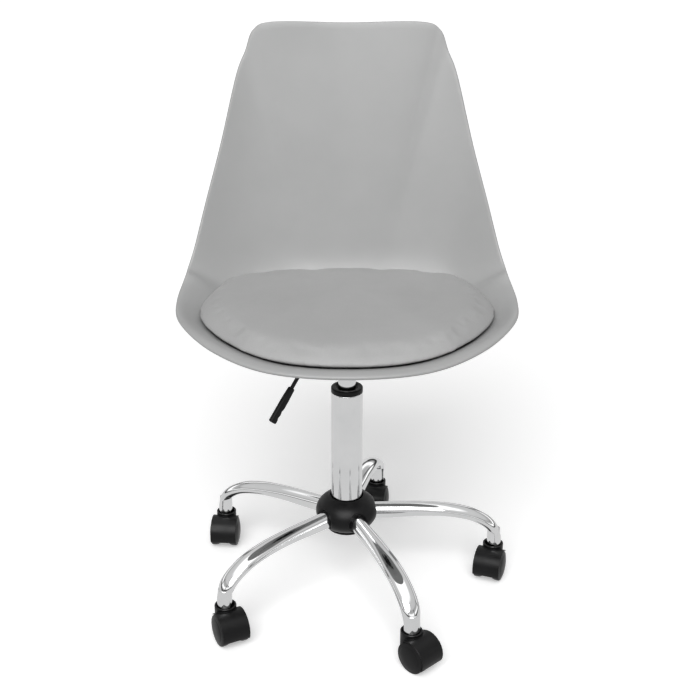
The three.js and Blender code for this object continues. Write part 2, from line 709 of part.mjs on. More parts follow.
// ---- Casters ----
// The caster's own frame: the stem on Z, the axle along X, the wheels trailing towards -Y.
function casterHousing() {
  const hood = barAlongX(hoodRadius, -hoodWidth / 2, hoodWidth / 2, 24).translate(0, -trail, wheelRadius);
  const frontHalf = block(-hoodWidth, hoodWidth, 0, hoodRadius, 0, 3 * hoodRadius);
  const collar = rod(collarRadius, hoodSkirt, collarTop, 20);
  const pocket = (side) => {
    const [near, far] = [side * webWidth / 2, side * hoodWidth];
    return barAlongX(hoodRadius - hoodWall, Math.min(near, far), Math.max(near, far), 24).translate(0, -trail, wheelRadius);
  };
  const below = block(-hoodWidth, hoodWidth, -trail - hoodRadius - 1, collarRadius + 1, -hoodRadius, hoodSkirt);
  const cup = rod(cupRadius, collarTop - cupDepth, collarTop + 1, 20);
  const stemHole = rod(stemRadius + gap, stemBottom - gap, collarTop, 12);
  const axleHole = barAlongX(axleRadius + gap, -hoodWidth, hoodWidth, 10).translate(0, -trail, wheelRadius);
  return cut(join(cut(hood, frontHalf), collar), below, pocket(-1), pocket(1), cup, stemHole, axleHole);
}

function casterStem() {
  const top = sleeveTop - 2;
  return turned([
    [0, stemBottom], [stemRadius, stemBottom], [stemRadius, top - 3], [stemRadius - 1.5, top], [0, top],
  ], 12);
}

const boreDepth = wheelOuter - 5;

// The wheel's section from its domed outer face over the crowned tread to the blind bore; side is +1 or -1.
function casterWheel(side) {
  const rimRadius = wheelRadius - 2.5;
  const profile = [
    [0, wheelOuter], [0.6 * wheelRadius, wheelOuter - 0.5], [rimRadius, wheelOuter - 3.3],
    [wheelRadius, wheelOuter - 5.5], [wheelRadius, wheelInner + 2], [wheelRadius - 1.6, wheelInner],
    [axleRadius + gap, wheelInner], [axleRadius + gap, boreDepth], [0, boreDepth],
  ].reverse();
  const wheel = turned(profile, 20).rotateY(Math.PI / 2);
  if (side < 0) wheel.rotateZ(Math.PI);
  return wheel;
}

function addCasters() {
  armAzimuths.forEach((azimuth, i) => {
    const caster = new THREE.Group();
    caster.position.set(casterCircle * Math.cos(azimuth), casterCircle * Math.sin(azimuth), 0);
    caster.rotation.z = radians(casterHeadings[i]);
    place(caster, `caster_${i + 1}_housing`, casterHousing(), blackPlastic());
    place(caster, `caster_${i + 1}_stem`, casterStem(), steel());
    const axle = place(caster, `caster_${i + 1}_axle`, barAlongX(axleRadius, 0.5 - boreDepth, boreDepth - 0.5, 10), steel());
    const left = place(caster, `caster_${i + 1}_wheel_left`, casterWheel(-1), blackPlastic());
    const right = place(caster, `caster_${i + 1}_wheel_right`, casterWheel(1), blackPlastic());
    for (const turning of [axle, left, right]) turning.position.set(0, -trail, wheelRadius);
    root.add(caster);
  });
}

addSeat();
addLift();
addBase();
addCasters();

export default root;
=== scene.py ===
# %% [markdown]
# # A swivel desk chair
# The chair is a moulded plastic bucket with a padded cushion, on a gas lift and a five-arm chrome base with
# twin-wheel casters. Its measured frame comes in first: every part of that frame already stands in its
# place and moves on its own body. The cells below dress it, one piece at a time, with finer surfaces and
# finishes. Lengths are written in millimetres and become metres as a mesh is made.

# %% Load the frame
import math

import bmesh
import bpy
import numpy as np
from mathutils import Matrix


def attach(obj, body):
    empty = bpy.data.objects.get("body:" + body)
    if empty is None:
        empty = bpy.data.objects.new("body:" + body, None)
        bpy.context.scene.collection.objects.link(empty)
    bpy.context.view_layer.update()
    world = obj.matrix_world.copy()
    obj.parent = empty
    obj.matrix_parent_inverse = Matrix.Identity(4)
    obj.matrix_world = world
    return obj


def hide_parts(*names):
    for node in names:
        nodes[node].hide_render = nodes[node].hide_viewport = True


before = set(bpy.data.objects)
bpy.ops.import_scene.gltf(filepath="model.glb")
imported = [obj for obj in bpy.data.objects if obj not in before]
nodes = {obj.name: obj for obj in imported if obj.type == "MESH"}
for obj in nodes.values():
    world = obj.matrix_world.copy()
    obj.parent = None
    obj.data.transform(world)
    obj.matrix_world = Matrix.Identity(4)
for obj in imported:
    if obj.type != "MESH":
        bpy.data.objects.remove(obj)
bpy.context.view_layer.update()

# %% [markdown]
# ## The camera
# The chair is seen from the front, from about head height and a little to its right, through a moderately
# long lens. A small sideways shift keeps the column left of the middle without turning the camera, so
# upright edges stay upright.

# %% Camera
scene = bpy.context.scene
camera_data = bpy.data.cameras.new("studio_camera")
camera_data.sensor_width = 36.0
camera_data.lens = 61.5
camera_data.shift_x = 0.01205
camera = bpy.data.objects.new("studio_camera", camera_data)
camera.location = (-0.0115, -1.6996, 1.0995)
camera.rotation_euler = (math.radians(90 - 21.98), 0, 0)
scene.collection.objects.link(camera)
scene.camera = camera
scene.view_settings.view_transform = "Standard"
print("lens", camera_data.lens, "mm, at", tuple(camera.location))

# %% [markdown]
# ## How surfaces are made
# A turned, moulded or drawn part is a grid of points: the rows run along it and the columns run round it.
# Working out the whole grid as one numpy array is quick, and its formula says what the shape is. A row
# whose points all fall on one place closes the end, because points that coincide are merged. Edges sharper
# than a set angle stay crisp and the rest is shaded smooth.

# %% Mesh helpers
MM = 0.001


def finish_mesh(mesh, crisp=38):
    """Merges points that coincide, points the faces outwards, and keeps edges over the crisp angle sharp."""
    work = bmesh.new()
    work.from_mesh(mesh)
    bmesh.ops.remove_doubles(work, verts=work.verts, dist=1e-6)
    bmesh.ops.dissolve_degenerate(work, edges=work.edges, dist=1e-7)
    bmesh.ops.recalc_face_normals(work, faces=work.faces)
    limit = math.radians(crisp)
    for face in work.faces:
        face.smooth = True
    for edge in work.edges:
        edge.smooth = len(edge.link_faces) != 2 or edge.calc_face_angle(0) < limit
    work.to_mesh(mesh)
    work.free()


def grid_faces(rows, columns, around):
    """Four-cornered faces between neighbouring points; around joins the last column to the first."""
    steps = columns if around else columns - 1
    row, column = np.meshgrid(np.arange(rows - 1), np.arange(steps), indexing="ij")
    after = (column + 1) % columns
    corners = [row * columns + column, row * columns + after, (row + 1) * columns + after,
               (row + 1) * columns + column]
    return np.stack(corners, axis=-1).reshape(-1, 4)


def surface(name, grid, around=True, crisp=38):
    """A mesh object from a grid of points in millimetres, shaped rows by columns by three."""
    rows, columns = grid.shape[:2]
    mesh = bpy.data.meshes.new(name)
    mesh.from_pydata((grid.reshape(-1, 3) * MM).tolist(), [], grid_faces(rows, columns, around).tolist())
    finish_mesh(mesh, crisp)
    piece = bpy.data.objects.new(name, mesh)
    scene.collection.objects.link(piece)
    return piece


def turned(profile, segments=96):
    """A profile of radius and height carried round Z: x is radius times cosine, y is radius times sine."""
    radius, height = np.asarray(profile, float).T
    angle = np.linspace(0, 2 * np.pi, segments, endpoint=False)
    x = radius[:, None] * np.cos(angle)
    y = radius[:, None] * np.sin(angle)
    return np.stack([x, y, np.broadcast_to(height[:, None], x.shape)], axis=-1)


def swing(grid, degrees, out=0.0):
    """Moves a grid out along X, then turns it about Z."""
    angle = math.radians(degrees)
    x, y, z = grid[..., 0] + out, grid[..., 1], grid[..., 2]
    return np.stack([x * math.cos(angle) - y * math.sin(angle), x * math.sin(angle) + y * math.cos(angle),
                     z], axis=-1)


def fit(piece, body, slot, finish, *stands_for):
    """Gives a piece its body, its material and the nodes it stands for; the slot argument is not used."""
    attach(piece, body)
    if stands_for:
        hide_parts(*stands_for)
    piece.data.materials.clear()
    piece.data.materials.append(finish)
    return piece


def closed(points):
    """A closed profile: the first point again at the end."""
    return list(points) + [points[0]]


# %% [markdown]
# ## Shader helpers
# Every finish reads the object's own coordinates, in metres, so a grain of a given size is the same size on
# every piece, and stays put when a joint moves. Four effects are shared as node groups: `mottle` for slow
# changes of tone or polish, `grain` for a fine raised texture, `edge_rub` for the lighter worn edges, and
# `settled_dust` for the soft grey that gathers on faces that look up.

# %% Node helpers
def add(tree, kind, settings=None, **sockets):
    """A node with its settings and its input sockets, each given a value or another node's output."""
    made = tree.nodes.new(kind)
    for key, value in (settings or {}).items():
        setattr(made, key, value)
    for key, value in sockets.items():
        numbered = key[0] == "i" and key[1:].isdigit()
        socket = made.inputs[int(key[1:]) if numbered else key.replace("_", " ")]
        if isinstance(value, bpy.types.NodeSocket):
            tree.links.new(value, socket)
        else:
            socket.default_value = value
    return made


def group_tree(name, inputs, output):
    """An empty group with named inputs, each with its default, and one named output."""
    tree = bpy.data.node_groups.new(name, "ShaderNodeTree")
    for label, value in inputs.items():
        socket = tree.interface.new_socket(label, in_out="INPUT", socket_type="NodeSocketFloat")
        socket.default_value = value
    tree.interface.new_socket(output, in_out="OUTPUT", socket_type="NodeSocketFloat")
    return tree, tree.nodes.new("NodeGroupInput"), tree.nodes.new("NodeGroupOutput")


def math_node(tree, operation, first, second=0.0, clamp=False):
    return add(tree, "ShaderNodeMath", {"operation": operation, "use_clamp": clamp}, i0=first,
               i1=second).outputs[0]


# %% Shared effects
mottle, source, target = group_tree("mottle", {"Scale": 10.0, "Low": 0.9, "High": 1.1}, "Value")
place = add(mottle, "ShaderNodeTexCoord").outputs["Object"]
cloud = add(mottle, "ShaderNodeTexNoise", Vector=place, Scale=source.outputs["Scale"], Detail=5.0,
            Roughness=0.55)
ranged = add(mottle, "ShaderNodeMapRange", Value=cloud.outputs[0], i1=0.3, i2=0.7,
             i3=source.outputs["Low"], i4=source.outputs["High"])
mottle.links.new(ranged.outputs[0], target.inputs["Value"])

grain, source, target = group_tree("grain", {"Scale": 700.0, "Softness": 0.5}, "Height")
place = add(grain, "ShaderNodeTexCoord").outputs["Object"]
pebble = add(grain, "ShaderNodeTexNoise", Vector=place, Scale=source.outputs["Scale"], Detail=3.0,
             Roughness=source.outputs["Softness"])
grain.links.new(pebble.outputs[0], target.inputs["Height"])

edge_rub, source, target = group_tree("edge_rub", {"Reach": 0.56, "Breakup": 60.0}, "Mask")
place = add(edge_rub, "ShaderNodeTexCoord").outputs["Object"]
shape = add(edge_rub, "ShaderNodeNewGeometry").outputs["Pointiness"]
edge = add(edge_rub, "ShaderNodeMapRange", Value=shape, i1=source.outputs["Reach"], i2=0.68, i3=0.0, i4=1.0)
patchy = add(edge_rub, "ShaderNodeTexNoise", Vector=place, Scale=source.outputs["Breakup"], Detail=4.0)
worn = math_node(edge_rub, "MULTIPLY", edge.outputs[0], patchy.outputs[0], clamp=True)
edge_rub.links.new(worn, target.inputs["Mask"])

settled_dust, source, target = group_tree("settled_dust", {"Amount": 0.2, "Scale": 40.0}, "Mask")
place = add(settled_dust, "ShaderNodeTexCoord").outputs["Object"]
facing = add(settled_dust, "ShaderNodeNewGeometry").outputs["Normal"]
up = add(settled_dust, "ShaderNodeSeparateXYZ", i0=facing).outputs["Z"]
flat = add(settled_dust, "ShaderNodeMapRange", Value=up, i1=0.35, i2=1.0, i3=0.0,
           i4=source.outputs["Amount"])
speckle = add(settled_dust, "ShaderNodeTexNoise", Vector=place, Scale=source.outputs["Scale"], Detail=8.0)
dust = math_node(settled_dust, "MULTIPLY", flat.outputs[0], speckle.outputs[0], clamp=True)
settled_dust.links.new(dust, target.inputs["Mask"])
print("groups", [g.name for g in bpy.data.node_groups])


# %% Material helpers
def material(name, roughness, metallic=0.0, **shader_values):
    """A material with an empty Principled shader; values that are the same all over go on its own sockets."""
    made = bpy.data.materials.new(name)
    made.use_nodes = True
    shader = made.node_tree.nodes["Principled BSDF"]
    shader.inputs["Roughness"].default_value = roughness
    shader.inputs["Metallic"].default_value = metallic
    for key, value in shader_values.items():
        shader.inputs[key.replace("_", " ")].default_value = value
    return made, made.node_tree, shader


def effect(tree, group, **values):
    """A shared group placed in a material with its own values."""
    made = tree.nodes.new("ShaderNodeGroup")
    made.node_tree = group
    for key, value in values.items():
        made.inputs[key].default_value = value
    return made.outputs[0]


def blend_colour(tree, share, first, second):
    """A colour between two others: the share says how far it goes to the second."""
    made = add(tree, "ShaderNodeMix", {"data_type": "RGBA"})
    tree.links.new(share, made.inputs[0])
    made.inputs[6].default_value = (*first, 1)
    made.inputs[7].default_value = (*second, 1)
    return made.outputs[2]


def mottled(tree, scale, low, high):
    """A colour that drifts in soft clouds: low + (high - low) * mottle(point * scale)."""
    return blend_colour(tree, effect(tree, mottle, Scale=scale, Low=0.0, High=1.0), low, high)


def layer_colour(tree, share, under, over):
    """An earlier colour with another laid over it by a mask."""
    made = add(tree, "ShaderNodeMix", {"data_type": "RGBA"})
    tree.links.new(share, made.inputs[0])
    tree.links.new(under, made.inputs[6])
    made.inputs[7].default_value = (*over, 1)
    return made.outputs[2]


def raise_surface(tree, shader, height, strength, distance):
    """A height feeds the shader's normal; distance is how far it stands out, in metres."""
    bump = add(tree, "ShaderNodeBump", Strength=strength, Distance=distance, Height=height)
    tree.links.new(bump.outputs[0], shader.inputs["Normal"])


# %% [markdown]
# ## Moulded plastic of the bucket
# The bucket is injected polypropylene in one mid grey. Its satin skin comes from a spark-eroded mould: a
# very fine even grain that breaks reflections up. Slow mottling keeps large faces from looking painted, and
# the rim is polished a little lighter where hands and legs rub it.

# %% Bucket plastic
shell_plastic, tree, shader = material("shell_plastic", 0.34, IOR=1.49)
tone = mottled(tree, 9.0, (0.375, 0.377, 0.376), (0.4, 0.402, 0.401))
tone = layer_colour(tree, effect(tree, edge_rub, Reach=0.54, Breakup=35.0), tone, (0.46, 0.46, 0.46))
tree.links.new(tone, shader.inputs["Base Color"])
tree.links.new(effect(tree, mottle, Scale=16.0, Low=0.3, High=0.38), shader.inputs["Roughness"])
raise_surface(tree, shader, effect(tree, grain, Scale=1500.0, Softness=0.6), 0.25, 0.0001)

# %% [markdown]
# ## Coated fabric of the cushion
# The cushion's cover is a polyurethane-coated fabric, matched to the bucket. Its grain is a net of shallow
# creases between rounded pebbles about a millimetre across, which a Voronoi texture's cell borders give;
# a finer noise roughens the pebbles, and a slow one makes the cover look pulled over foam.

# %% Cushion cover
leatherette, tree, shader = material("leatherette", 0.46, IOR=1.45, Sheen_Weight=0.08, Sheen_Roughness=0.4)
place = add(tree, "ShaderNodeTexCoord").outputs["Object"]
waver = add(tree, "ShaderNodeTexNoise", Vector=place, Scale=420.0, Detail=2.0)
moved = add(tree, "ShaderNodeVectorMath", {"operation": "MULTIPLY_ADD"}, i0=waver.outputs["Color"],
            i1=(0.0012,) * 3, i2=place)
cells = add(tree, "ShaderNodeTexVoronoi", {"feature": "DISTANCE_TO_EDGE"}, Vector=moved.outputs[0],
            Scale=760.0)
pebbles = add(tree, "ShaderNodeMapRange", Value=cells.outputs["Distance"], i1=0.0, i2=0.22, i3=0.0,
              i4=1.0).outputs[0]
fine = math_node(tree, "MULTIPLY", effect(tree, grain, Scale=3200.0, Softness=0.6), 0.35)
height = math_node(tree, "ADD", pebbles, fine)
tone = mottled(tree, 7.0, (0.385, 0.386, 0.385), (0.42, 0.421, 0.42))
# Painted shade: the creases between the pebbles are darkened towards grey, standing in for the shade in the
# grain's hollows.
crease_shade = math_node(tree, "SUBTRACT", 0.35, math_node(tree, "MULTIPLY", pebbles, 0.35))
tone = layer_colour(tree, crease_shade, tone, (0.3, 0.3, 0.3))
tree.links.new(tone, shader.inputs["Base Color"])
tree.links.new(effect(tree, mottle, Scale=22.0, Low=0.42, High=0.54), shader.inputs["Roughness"])
raise_surface(tree, shader, height, 0.3, 0.00012)

# %% [markdown]
# ## Black plastics, rubber and powder coat
# The hub cover, bush, lever grip and casters are black nylon, satin from the mould. Dust settles on what
# faces up and edges rub paler. The seat plate and lever are powder coated: a slightly lumpy skin like an
# orange's. The bump stop is plain rubber.

# %% Black finishes
black_plastic, tree, shader = material("black_plastic", 0.4, Specular_IOR_Level=0.22)
tone = mottled(tree, 45.0, (0.0035, 0.0035, 0.0038), (0.0055, 0.0055, 0.0058))
tone = layer_colour(tree, effect(tree, edge_rub, Reach=0.55, Breakup=120.0), tone, (0.022, 0.022, 0.023))
tone = layer_colour(tree, effect(tree, settled_dust, Amount=0.03, Scale=220.0), tone, (0.12, 0.12, 0.115))
tree.links.new(tone, shader.inputs["Base Color"])
tree.links.new(effect(tree, mottle, Scale=60.0, Low=0.3, High=0.44), shader.inputs["Roughness"])
raise_surface(tree, shader, effect(tree, grain, Scale=1800.0, Softness=0.55), 0.3, 0.0001)

black_steel, tree, shader = material("black_steel", 0.42, Specular_IOR_Level=0.3)
tone = mottled(tree, 30.0, (0.008, 0.008, 0.0085), (0.013, 0.013, 0.0135))
tone = layer_colour(tree, effect(tree, edge_rub, Reach=0.57, Breakup=200.0), tone, (0.16, 0.16, 0.16))
tree.links.new(tone, shader.inputs["Base Color"])
tree.links.new(effect(tree, mottle, Scale=80.0, Low=0.34, High=0.5), shader.inputs["Roughness"])
raise_surface(tree, shader, effect(tree, grain, Scale=650.0, Softness=0.45), 0.35, 0.00025)

rubber, tree, shader = material("rubber", 0.8)
tone = mottled(tree, 90.0, (0.01, 0.01, 0.01), (0.018, 0.018, 0.017))
tree.links.new(tone, shader.inputs["Base Color"])
raise_surface(tree, shader, effect(tree, grain, Scale=2200.0, Softness=0.7), 0.5, 0.00015)

# %% [markdown]
# ## Chrome, steel and plywood
# Chrome is a mirror with almost no colour of its own, so its detail is in how it reflects: faint smudges
# that dull it, and hairline polishing marks that follow no direction strongly. Plain steel inside the lift
# is brushed and duller. The plywood board under the foam shows long grain.

# %% Metals and wood
chrome, tree, shader = material("chrome", 0.06, metallic=1.0)
tone = mottled(tree, 14.0, (0.78, 0.785, 0.79), (0.86, 0.862, 0.865))
tree.links.new(tone, shader.inputs["Base Color"])
tree.links.new(effect(tree, mottle, Scale=38.0, Low=0.035, High=0.11), shader.inputs["Roughness"])
raise_surface(tree, shader, effect(tree, grain, Scale=260.0, Softness=0.35), 0.05, 0.0001)

steel, tree, shader = material("steel", 0.32, metallic=1.0)
place = add(tree, "ShaderNodeTexCoord").outputs["Object"]
drawn = add(tree, "ShaderNodeMapping", Vector=place, Scale=(900.0, 900.0, 40.0)).outputs[0]
lines = add(tree, "ShaderNodeTexNoise", Vector=drawn, Scale=1.0, Detail=3.0).outputs[0]
tone = blend_colour(tree, lines, (0.36, 0.36, 0.37), (0.56, 0.56, 0.57))
tree.links.new(tone, shader.inputs["Base Color"])
tree.links.new(effect(tree, mottle, Scale=70.0, Low=0.25, High=0.42), shader.inputs["Roughness"])
raise_surface(tree, shader, lines, 0.2, 0.00008)

plywood, tree, shader = material("plywood", 0.65)
place = add(tree, "ShaderNodeTexCoord").outputs["Object"]
long_way = add(tree, "ShaderNodeMapping", Vector=place, Scale=(12.0, 160.0, 160.0)).outputs[0]
fibre = add(tree, "ShaderNodeTexNoise", Vector=long_way, Scale=1.0, Detail=6.0, Distortion=0.6).outputs[0]
tree.links.new(blend_colour(tree, fibre, (0.36, 0.2, 0.09), (0.62, 0.42, 0.23)),
               shader.inputs["Base Color"])
raise_surface(tree, shader, fibre, 0.3, 0.0003)
finishes = {"shell_plastic": shell_plastic, "leatherette": leatherette, "black_plastic": black_plastic,
            "chrome": chrome, "steel": steel, "black_steel": black_steel,
            "plywood": plywood, "rubber": rubber}
print("finishes", sorted(finishes))

# %% [markdown]
# ## Smooth curves through a few points
# The bucket's rim and the base's arms are drawn through a handful of points. A Catmull-Rom curve passes
# through every one of them. The plain kind takes each tangent from the two neighbours; the centripetal kind
# weighs them by the square root of the distance, which keeps it from looping where points crowd together.

# %% Curves
def curve(points, at, loop=False, centripetal=False):
    """Catmull-Rom: between two points runs a cubic whose end slopes come from the points on either side."""
    points = np.asarray(points, float)
    count = len(points)
    at = np.asarray(at, float) * (count if loop else count - 1)
    start = np.floor(at).astype(int)
    if not loop:
        start = np.clip(start, 0, count - 2)
    share = (at - start)[..., None]
    if loop:
        before, first, second, after = (points[(start + step) % count] for step in (-1, 0, 1, 2))
    else:
        padded = np.vstack([2 * points[0] - points[1], points, 2 * points[-1] - points[-2]])
        before, first, second, after = (padded[start + step] for step in (0, 1, 2, 3))
    if centripetal:
        gaps = [np.maximum(np.linalg.norm(b - a, axis=-1, keepdims=True), 1e-6) ** 0.5
                for a, b in ((before, first), (first, second), (second, after))]
        rate = (second - first) / gaps[1]
        slope_in = (first - before) / gaps[0] - (second - before) / (gaps[0] + gaps[1]) + rate
        slope_out = rate - (after - first) / (gaps[1] + gaps[2]) + (after - second) / gaps[2]
        slope_in, slope_out = slope_in * gaps[1], slope_out * gaps[1]
    else:
        slope_in, slope_out = (second - before) / 2, (after - first) / 2
    cubic = 2 * first - 2 * second + slope_in + slope_out
    square = -3 * first + 3 * second - 2 * slope_in - slope_out
    return ((cubic * share + square) * share + slope_in) * share + first


def ease(low, high, value):
    """Nothing below low, one above high, and a smooth step between: three squares less two cubes."""
    share = np.clip((value - low) / (high - low), 0, 1)
    return share * share * (3 - 2 * share)


def mix(first, second, share):
    return first + (second - first) * share


# %% [markdown]
# ## The bucket
# One shell makes the seat and the back. Think of a flat rounded outline that is bent up along its middle
# line, first flat, then turning by nearly eighty degrees. Across the seat the wall starts
# half way out, rises and rolls
# into a flat lip at the front; up the back it curves forward evenly. So a point needs two numbers: the turn
# round the rim, and the spread from the column's axis out to the rim. The sheet then gets its wall and a
# rounded edge.

# %% Bucket surface
WALL = 4.5
FLOOR = 420.0
FRONT = 215.0
WIDEST = 35.0
HALF_SEAT = 527 / 2
HALF_TOP = 328 / 2
LENGTH = 612.0
TOP_CORNER = 46.0
FULLNESS = 0.94
BEAD = 1.2
DROOP = 3.0
FRONT_RISE, SIDE_RISE, WING_RISE, BACK_RISE, TOP_RISE = 39.0, 70.0, 84.0, 52.0, 9.0
LEAN, CURL = math.radians(79), math.radians(3)
BEND_START, BEND_LENGTH = 70.0, 195.0


def slope_along(distance):
    """The middle line's angle from level: up to the lean through the bend, less the curl at the top."""
    bend = LEAN * ease(BEND_START, BEND_START + BEND_LENGTH, distance)
    return bend - CURL * ease(LENGTH * 0.5, LENGTH, distance)


step = 2.0
half_steps = np.arange(step / 2, LENGTH * 1.1, step)
line_at = np.concatenate([[0], half_steps + step / 2])
line_y = np.concatenate([[0], np.cumsum(step * np.cos(slope_along(half_steps)))])
line_z = FLOOR + np.concatenate([[0], np.cumsum(step * np.sin(slope_along(half_steps)))])

front_turns = np.radians([0, 24, 47, 69, 90])
front_rim = np.stack([
    HALF_SEAT * np.sin(front_turns) ** FULLNESS,
    WIDEST - (FRONT + WIDEST) * np.abs(np.cos(front_turns)) ** FULLNESS,
    mix(FRONT_RISE, SIDE_RISE, ease(15, 90, np.degrees(front_turns))),
], axis=-1)
back_rim = np.array([
    [0.975 * HALF_SEAT, 0.22 * LENGTH, WING_RISE],
    [mix(HALF_SEAT, HALF_TOP, 0.105), 0.35 * LENGTH, mix(WING_RISE, BACK_RISE, 0.45)],
    [mix(HALF_SEAT, HALF_TOP, 0.31), 0.5 * LENGTH, mix(WING_RISE, BACK_RISE, 1.15)],
    [mix(HALF_SEAT, HALF_TOP, 0.6), 0.68 * LENGTH, mix(BACK_RISE, TOP_RISE, 0.55)],
    [mix(HALF_SEAT, HALF_TOP, 0.855), 0.86 * LENGTH, mix(BACK_RISE, TOP_RISE, 0.88)],
    [HALF_TOP, LENGTH - TOP_CORNER, TOP_RISE],
    [HALF_TOP - 0.28 * TOP_CORNER, LENGTH - 0.28 * TOP_CORNER, TOP_RISE],
    [HALF_TOP - TOP_CORNER, LENGTH, TOP_RISE],
])
side = np.vstack([front_rim[1:], back_rim])
rim_points = np.vstack([front_rim[:1], side, [[0, LENGTH, 0]], (side * [-1, 1, 1])[::-1]])


def bucket(turn, spread):
    """The sitter's surface. Across: the rim's width times the spread. Along: the middle line at the rim's
    distance times the spread. Up: the rim's rise times a smooth wall, or times a square on the backrest,
    laid square to the middle line. The lip turns down a little in its last few millimetres."""
    edge = curve(rim_points, turn, loop=True)
    across, along, rim_rise = edge[..., 0], edge[..., 1], edge[..., 2]
    wall_outer = mix(0.93, 1.12, ease(-FRONT, WIDEST, along))
    wall = ease(0.5, wall_outer, spread)
    arc = (np.maximum(0, spread - 0.2) / 0.8) ** 2
    rise = rim_rise * mix(wall, arc, ease(0.25 * LENGTH, 0.62 * LENGTH, along))
    rise = rise - DROOP * np.clip((spread - 0.93) / 0.07, 0, 1) ** 2 * (1 - ease(WIDEST, 0.35 * LENGTH,
                                                                                 along))
    distance = along * spread
    angle = slope_along(distance)
    y = np.where(distance > 0, np.interp(distance, line_at, line_y), distance)
    z = np.interp(distance, line_at, line_z)
    return np.stack([across * spread, y - rise * np.sin(angle), z + rise * np.cos(angle)], axis=-1)


def bucket_normal(turn, spread):
    """Square to the surface, towards the sitter: the way out crossed with the way round."""
    near = 0.002
    out = bucket(turn, spread + near) - bucket(turn, spread - near)
    round_way = bucket(turn + near, spread) - bucket(turn - near, spread)
    normal = np.cross(out, round_way)
    return normal / np.linalg.norm(normal, axis=-1, keepdims=True)


# %% Bucket piece
turns = np.linspace(0, 1, 288, endpoint=False)
rim_reach = np.linalg.norm(curve(rim_points, turns, loop=True)[:, :2], axis=-1)
edge_round = (WALL + BEAD) / 2
last = 1 - edge_round / rim_reach
shares = np.concatenate([[0.02], np.linspace(0.06, 1, 70)])
spreads = shares[:, None] * last
inside = bucket(turns, spreads)
normal = bucket_normal(turns, spreads)
outside = inside - (WALL + BEAD * ease(0.95, 1.0, shares)[:, None, None]) * normal
middle = (inside[-1] + outside[-1]) / 2
outward = bucket(turns, last) - bucket(turns, last - 0.01)
outward /= np.linalg.norm(outward, axis=-1, keepdims=True)
bead = np.linspace(0, np.pi, 9)[1:-1, None, None]
roll = middle + edge_round * (np.cos(bead) * normal[-1] + np.sin(bead) * outward)
floor_point = np.full((1, len(turns), 3), [0, 0, FLOOR])
rows = [floor_point, inside, roll, outside[::-1], floor_point - [0, 0, WALL]]
shell = fit(surface("bucket", np.concatenate(rows)), "seat", "shell_plastic", shell_plastic, "seat_shell")
print("bucket", len(shell.data.polygons), "faces")

# %% [markdown]
# ## Bosses under the bucket
# Four pillars moulded with the bucket take the bolts of the seat plate. Each is a turned shape with a
# filleted foot, so that it grows out of the floor.

# %% Bosses
plate_top = FLOOR - WALL - 16.5
foot = np.radians(np.linspace(0, 90, 7))
for index, (x, y) in enumerate([(-58, -28), (58, -28), (-58, 28), (58, 28)]):
    fillet = np.stack([9 + 5 * (1 - np.sin(foot)), FLOOR - WALL + 0.5 - 5 * np.cos(foot)], axis=-1)[::-1]
    profile = [[3.3, plate_top + 0.3], [8.4, plate_top + 0.3], [9, plate_top + 0.9], *fillet,
               [3.3, FLOOR - WALL + 1.5], [3.3, plate_top + 0.3]]
    boss = surface(f"shell_boss_{index + 1}", turned(profile, 40) + [x, y, 0])
    fit(boss, "seat", "shell_plastic", shell_plastic)
print("bosses at", plate_top, "mm")

# %% [markdown]
# ## The cushion
# The cushion is foam on a thin board, in a tight seamless cover that tucks under all round. It starts as a
# crowned shape a little smaller than its place in the bucket. Then the cover is really inflated: the mesh
# becomes even cells, a cloth with some pressure inside it swells for a moment, and how far each point may
# go is capped, less below where the bucket is close. One subdivision smooths the cells away.

# %% Cushion's first shape
FRONT_BAND, SIDE_BAND = 19.5, 18.5
REAR_HEIGHT = 470.0
CROWN = 20.0
CUSHION_GAP = 1.8
EDGE_ROUND = 3.2
SWELL = 2.0


def cushion_reach(turn):
    """How far out the edge lies: a band inside the rim, or where the bucket reaches the rear height."""
    edge = curve(rim_points, turn, loop=True)
    width = mix(FRONT_BAND, SIDE_BAND, ease(-FRONT, WIDEST, edge[..., 1])) + SWELL + EDGE_ROUND
    band = 1 - width / np.linalg.norm(edge[..., :2], axis=-1)
    low, high = np.zeros_like(band), np.ones_like(band)
    for _ in range(24):
        middle_way = (low + high) / 2
        below = bucket(turn, middle_way)[..., 2] < REAR_HEIGHT - SWELL
        low, high = np.where(below, middle_way, low), np.where(below, high, middle_way)
    return (band ** -20 + np.maximum(low, 1e-3) ** -20) ** (-1 / 20)


pad_turns = np.linspace(0, 1, 160, endpoint=False)
reach = cushion_reach(pad_turns)
under_shares = np.linspace(0.12, 1, 14)[:, None]
lift = mix(7.0, CUSHION_GAP + 1.0, ease(0.6, 0.95, under_shares))
under = bucket(pad_turns, under_shares * reach)
square = bucket_normal(pad_turns, under_shares * reach)
under = under + lift[..., None] * square
outward = bucket(pad_turns, reach) - bucket(pad_turns, reach - 0.01)
outward /= np.linalg.norm(outward, axis=-1, keepdims=True)
bulge = np.linspace(0, 0.6 * np.pi, 7)[1:, None, None]
bulge_centre = under[-1] + EDGE_ROUND * square[-1]
border = bulge_centre + EDGE_ROUND * (np.sin(bulge) * outward - np.cos(bulge) * square[-1])
edge_loop = border[-1]
centre = edge_loop.mean(axis=0)
arch = np.linspace(0.06, 1, 16)[:, None, None]
dome = centre + (edge_loop - centre) * np.sqrt(1 - arch ** 2.2)
dome = dome + np.array([0, 0, CROWN - SWELL]) * (1 - (1 - arch) ** 1.6) ** 0.9
rows = [np.full((1, len(pad_turns), 3), [0, 0, FLOOR + 7.0]), under, border, dome]
pad = surface("cushion_pad", np.concatenate(rows), crisp=180)
print("pad", [round(v * 1000) for v in pad.dimensions])


# %% Cushion swelled as cloth
def applied(piece):
    """The mesh that the live modifiers give, kept in place of the old one."""
    view = bpy.context.evaluated_depsgraph_get()
    made = bpy.data.meshes.new_from_object(piece.evaluated_get(view))
    piece.modifiers.clear()
    piece.data = made


